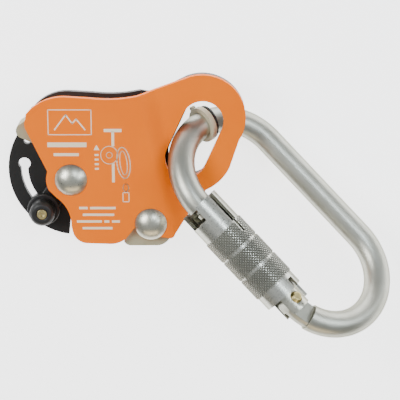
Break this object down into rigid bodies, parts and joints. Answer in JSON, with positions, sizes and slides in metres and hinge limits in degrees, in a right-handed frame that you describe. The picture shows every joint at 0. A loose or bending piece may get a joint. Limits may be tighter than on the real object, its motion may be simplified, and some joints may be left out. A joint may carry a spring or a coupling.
{
  "type": "rope grab",
  "caption": "Rope grab with a spring cam between stepped side plates, a parking knob, and a twist-lock oval connector through its eye.",
  "frame": {"origin": "middle of the cam axle's flat rear end, on which the rope grab rests", "axes": "+Z out of the front plate along the axles, +X from the cam axle towards the eye, +Y up the rope"},
  "size_m": [0.1555, 0.1007, 0.0559],
  "materials": {
    "orange_anodised": "satin anodised orange",
    "black_anodised": "satin black",
    "zinc_steel": "satin zinc plate",
    "cast_steel": "fine cast, beige-grey",
    "bronze": "sintered bronze",
    "spring_steel": "drawn wire",
    "black_lever": "satin black",
    "black_plastic": "moulded",
    "yellow_zinc": "yellow passivated",
    "cream_nylon": "moulded nylon",
    "black_rubber": "matte",
    "forged_steel": "tumbled zinc plate",
    "sleeve_steel": "knurled satin zinc plate"
  },
  "bodies": {
    "frame": {"front_plate": "orange_anodised", "rear_plate": "black_anodised", "cam_axle": "zinc_steel", "anvil_axle": "zinc_steel", "cam_axle_washer": "zinc_steel", "anvil_axle_washer": "zinc_steel", "anvil": "cast_steel", "stop_pin": "zinc_steel", "cam_spacer": "zinc_steel"},
    "cam": {"cam": "cast_steel", "cam_bushing": "bronze", "cam_spring": "spring_steel"},
    "lever": {"lever_arm": "black_lever", "lever_bushing": "bronze", "knob_flange": "black_plastic", "plunger_spring": "spring_steel"},
    "plunger": {"plunger": "zinc_steel", "knob_cap": "black_plastic", "knob_screw": "yellow_zinc"},
    "connector": {"connector_body": "forged_steel", "nose_pin": "zinc_steel", "gate_rivet": "yellow_zinc", "keeper_ring": "cream_nylon", "keeper_seal": "black_rubber"},
    "gate": {"gate": "zinc_steel", "gate_plunger": "zinc_steel", "gate_spring": "spring_steel"},
    "sleeve": {"sleeve": "sleeve_steel", "sleeve_pin": "zinc_steel", "sleeve_spring": "spring_steel"}
  },
  "joints": [
    {"name": "cam_turn", "type": "hinge", "parent": "frame", "child": "cam", "pos_m": [0, 0, 0.018], "axis": [0, 0, 1], "range_deg": [-21, 4], "stiffness_Nm_per_rad": 0.02},
    {"name": "lever_park", "type": "hinge", "parent": "frame", "child": "lever", "pos_m": [0, 0, 0.0098], "axis": [0, 0, -1], "range_deg": [0, 57]},
    {"name": "plunger_pull", "type": "slide", "parent": "lever", "child": "plunger", "axis": [0, 0, 1], "range_m": [0, 0.003], "stiffness_N_per_m": 800, "springref_m": -0.0005},
    {"name": "connector_swing", "type": "hinge", "parent": "frame", "child": "connector", "pos_m": [0.0476, 0.0167, 0.02741], "axis": [0, 0, 1], "range_deg": [0, 20]},
    {"name": "gate_open", "type": "hinge", "parent": "connector", "child": "gate", "pos_m": [0.08655, -0.04348, 0.04831], "axis": [-0.3976, -0.5923, -0.7007], "range_deg": [0, 20], "stiffness_Nm_per_rad": 0.3, "springref_deg": -5.73},
    {"name": "sleeve_turn", "type": "hinge", "parent": "gate", "child": "sleeve", "pos_m": [0.06938, -0.02601, 0.04329], "axis": [0.6867, -0.6986, 0.2009], "range_deg": [0, 80], "stiffness_Nm_per_rad": 0.02}
  ]
}
